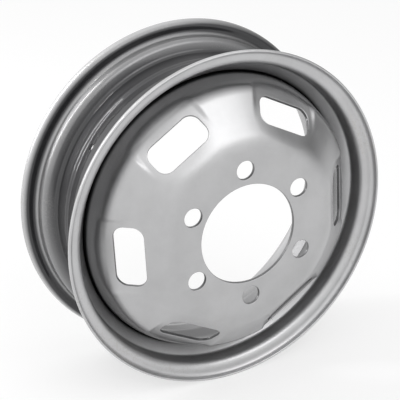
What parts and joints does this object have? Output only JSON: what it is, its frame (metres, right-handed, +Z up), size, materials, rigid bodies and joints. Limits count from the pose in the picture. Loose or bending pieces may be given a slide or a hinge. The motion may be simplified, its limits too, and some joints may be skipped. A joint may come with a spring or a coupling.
{
  "type": "steel wheel rim",
  "caption": "Silver-painted steel wheel for a light van or truck: pressed domed disc with vent windows, bolt holes and a large centre bore, welded into a drop-centre hoop with curled flanges.",
  "frame": {"origin": "middle of the face that seats on the hub, on the axis of the wheel", "axes": "+Y along the wheel's axis from the disc toward the hub, +Z up, +X to the right of the disc's outer face"},
  "size_m": [0.4399, 0.1888, 0.44],
  "materials": {
    "rim_paint": "silver metallic paint on rolled steel, glossy",
    "disc_paint": "silver metallic paint on pressed steel, satin to glossy",
    "weld_paint": "silver paint over weld beads, uneven"
  },
  "bodies": {
    "root": {"rim": "rim_paint", "disc": "disc_paint", "fillet_welds": "weld_paint"}
  },
  "joints": []
}
